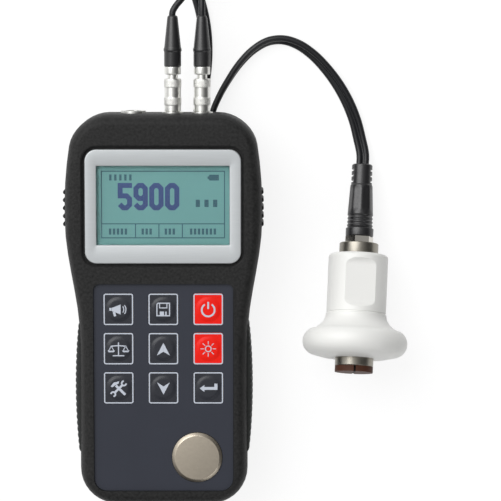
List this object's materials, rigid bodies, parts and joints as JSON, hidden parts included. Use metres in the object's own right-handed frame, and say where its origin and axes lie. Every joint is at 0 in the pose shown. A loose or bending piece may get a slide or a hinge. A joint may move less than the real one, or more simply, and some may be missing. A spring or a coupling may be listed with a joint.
{
  "type": "ultrasonic thickness gauge",
  "caption": "Handheld ultrasonic thickness gauge with display, membrane keypad and steel test disc, a twin lead on push-pull plugs and a bell-shaped dual-element probe.",
  "frame": {"origin": "on the battery hump's flat face, on the gauge's middle line", "axes": "+Z from the back to the display, +Y along the gauge towards its sockets, +X to its right"},
  "size_m": [0.1319, 0.2728, 0.0397],
  "materials": {
    "shell_black": "finely grained moulded black",
    "grip_rubber": "ribbed soft grip",
    "bezel_silver": "satin silver",
    "window_clear": "clear sheet",
    "lcd_panel": "green-blue display panel",
    "board_green": "circuit board",
    "part_black": "moulded",
    "film_amber": "circuit film",
    "contact_steel": "spring steel",
    "overlay_slate": "embossed polyester film",
    "key_red": "red embossed polyester film",
    "disc_nickel": "turned, nickel-plated",
    "cell_wrap": "plain wrap",
    "screw_steel": "zinc-plated",
    "plug_chrome": "satin chrome",
    "boot_black": "moulded strain relief",
    "lead_black": "smooth jacket",
    "tie_black": "strap",
    "gland_nickel": "nickel-plated",
    "probe_steel": "turned steel",
    "handle_white": "white turned plastic",
    "delay_brown": "brown delay line",
    "barrier_cork": "sound barrier"
  },
  "bodies": {
    "gauge": {"front_housing": "shell_black", "rear_housing": "shell_black", "grip_left": "grip_rubber", "grip_right": "grip_rubber", "lcd_bezel": "bezel_silver", "lcd_window": "window_clear", "lcd_module": "lcd_panel", "main_board": "board_green", "buzzer": "part_black", "keypad_circuit": "film_amber", "key_domes": "contact_steel", "keypad_overlay": "overlay_slate", "test_disc": "disc_nickel", "battery_left": "cell_wrap", "battery_right": "cell_wrap", "battery_springs": "contact_steel", "battery_plates": "contact_steel", "housing_screws": "screw_steel", "tx_socket": "plug_chrome", "rx_socket": "plug_chrome", "data_socket": "plug_chrome", "socket_nuts": "plug_chrome", "tx_plug_core": "plug_chrome", "tx_plug_nut": "plug_chrome", "tx_boot": "boot_black", "rx_plug_core": "plug_chrome", "rx_plug_nut": "plug_chrome", "rx_boot": "boot_black", "tx_lead": "lead_black", "rx_lead": "lead_black", "lead_splitter": "boot_black", "twin_inner": "lead_black", "cable_coil": "lead_black", "cable_ties": "tie_black", "twin_cable": "lead_black", "probe_boot": "boot_black", "probe_gland_nut": "gland_nickel", "probe_body": "probe_steel", "probe_handle": "handle_white", "delay_block_tx": "delay_brown", "delay_block_rx": "delay_brown", "acoustic_barrier": "barrier_cork"},
    "key_sound": {"key_sound": "overlay_slate"},
    "key_save": {"key_save": "overlay_slate"},
    "key_power": {"key_power": "key_red"},
    "key_balance": {"key_balance": "overlay_slate"},
    "key_up": {"key_up": "overlay_slate"},
    "key_light": {"key_light": "key_red"},
    "key_tools": {"key_tools": "overlay_slate"},
    "key_down": {"key_down": "overlay_slate"},
    "key_enter": {"key_enter": "overlay_slate"},
    "tx_sleeve": {"tx_plug_sleeve": "plug_chrome"},
    "rx_sleeve": {"rx_plug_sleeve": "plug_chrome"},
    "battery_door": {"battery_door": "shell_black"}
  },
  "joints": [
    {"name": "key_sound_press", "type": "slide", "parent": "gauge", "child": "key_sound", "axis": [0, 0, -1], "range_m": [0, 0.0003], "stiffness_N_per_m": 2000},
    {"name": "key_save_press", "type": "slide", "parent": "gauge", "child": "key_save", "axis": [0, 0, -1], "range_m": [0, 0.0003], "stiffness_N_per_m": 2000},
    {"name": "key_power_press", "type": "slide", "parent": "gauge", "child": "key_power", "axis": [0, 0, -1], "range_m": [0, 0.0003], "stiffness_N_per_m": 2000},
    {"name": "key_balance_press", "type": "slide", "parent": "gauge", "child": "key_balance", "axis": [0, 0, -1], "range_m": [0, 0.0003], "stiffness_N_per_m": 2000},
    {"name": "key_up_press", "type": "slide", "parent": "gauge", "child": "key_up", "axis": [0, 0, -1], "range_m": [0, 0.0003], "stiffness_N_per_m": 2000},
    {"name": "key_light_press", "type": "slide", "parent": "gauge", "child": "key_light", "axis": [0, 0, -1], "range_m": [0, 0.0003], "stiffness_N_per_m": 2000},
    {"name": "key_tools_press", "type": "slide", "parent": "gauge", "child": "key_tools", "axis": [0, 0, -1], "range_m": [0, 0.0003], "stiffness_N_per_m": 2000},
    {"name": "key_down_press", "type": "slide", "parent": "gauge", "child": "key_down", "axis": [0, 0, -1], "range_m": [0, 0.0003], "stiffness_N_per_m": 2000},
    {"name": "key_enter_press", "type": "slide", "parent": "gauge", "child": "key_enter", "axis": [0, 0, -1], "range_m": [0, 0.0003], "stiffness_N_per_m": 2000},
    {"name": "tx_sleeve_pull", "type": "slide", "parent": "gauge", "child": "tx_sleeve", "axis": [0, 1, 0], "range_m": [0, 0.001], "stiffness_N_per_m": 1500},
    {"name": "rx_sleeve_pull", "type": "slide", "parent": "gauge", "child": "rx_sleeve", "axis": [0, 1, 0], "range_m": [0, 0.001], "stiffness_N_per_m": 1500},
    {"name": "battery_door_slide", "type": "slide", "parent": "gauge", "child": "battery_door", "axis": [0, -1, 0], "range_m": [0, 0.06]}
  ]
}
